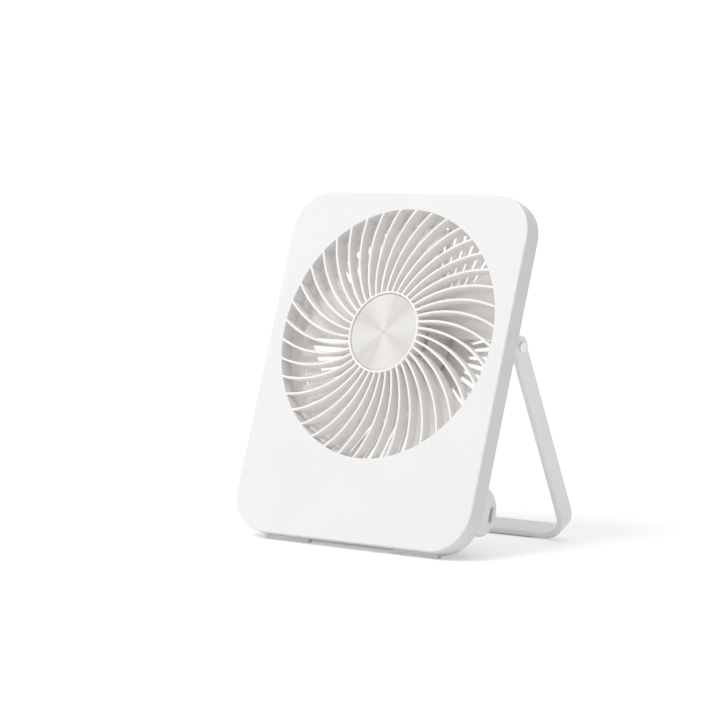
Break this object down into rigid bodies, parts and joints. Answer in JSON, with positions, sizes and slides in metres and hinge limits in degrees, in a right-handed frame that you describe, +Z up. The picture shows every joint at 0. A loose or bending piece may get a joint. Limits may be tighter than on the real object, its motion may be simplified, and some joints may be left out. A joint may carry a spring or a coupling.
{
  "type": "folding desk fan",
  "caption": "Folding desk fan: a thin leaning slab with a spiral-fin grille and metal hub disc, a battery barrel across its lower back and a hinged U-shaped stand.",
  "frame": {"origin": "centre of the footprint on the ground, with the stand open as pictured", "axes": "+Z up, the fan blows towards -Y, +X to the right seen from the front, the side of the socket"},
  "size_m": [0.1606, 0.1156, 0.1923],
  "materials": {
    "white_face": "satin white",
    "white_back": "satin warm white",
    "turned_metal": "fine turned rings",
    "fan_plastic": "moulded light grey",
    "stand_plastic": "satin pale grey",
    "rubber": "matte",
    "steel": "plated",
    "core_steel": "stacked sheets",
    "magnet": "bonded ferrite",
    "copper": "lacquered windings",
    "bronze": "sintered",
    "base_metal": "die cast",
    "board": "solder mask",
    "cell_wrap": "shrink sleeve",
    "switch_black": "moulded",
    "button_plastic": "moulded"
  },
  "bodies": {
    "housing": {"front_cover": "white_face", "hub_disc": "turned_metal", "rear_cover": "white_back", "battery_cover": "white_back", "battery_cell": "cell_wrap", "control_board": "board", "usb_socket": "steel", "socket_tongue": "switch_black", "button_switch": "switch_black", "motor_base": "base_metal", "bearing_bushes": "bronze", "stator_core": "core_steel", "stator_coils": "copper", "motor_board": "board", "motor_screws": "steel", "cover_screws": "steel", "battery_cover_screws": "steel", "board_screws": "steel", "hinge_pins": "steel", "hinge_washers": "steel", "base_feet": "rubber"},
    "rotor": {"impeller": "fan_plastic", "rotor_can": "steel", "rotor_magnet": "magnet", "motor_shaft": "steel", "shaft_clip": "steel"},
    "bail": {"stand": "stand_plastic", "stand_pad": "rubber"},
    "button": {"speed_button": "button_plastic"}
  },
  "joints": [
    {"name": "impeller_spin", "type": "hinge", "parent": "housing", "child": "rotor", "pos_m": [0, -0.00769, 0.1118], "axis": [0, -0.9483, 0.3173], "continuous": true},
    {"name": "stand_fold", "type": "hinge", "parent": "housing", "child": "bail", "pos_m": [0, -0.00081, 0.11108], "axis": [1, 0, 0], "range_deg": [-44.9, 45]},
    {"name": "button_press", "type": "slide", "parent": "housing", "child": "button", "axis": [0, -0.9483, 0.3173], "range_m": [0, 0.0005], "stiffness_N_per_m": 3000}
  ]
}
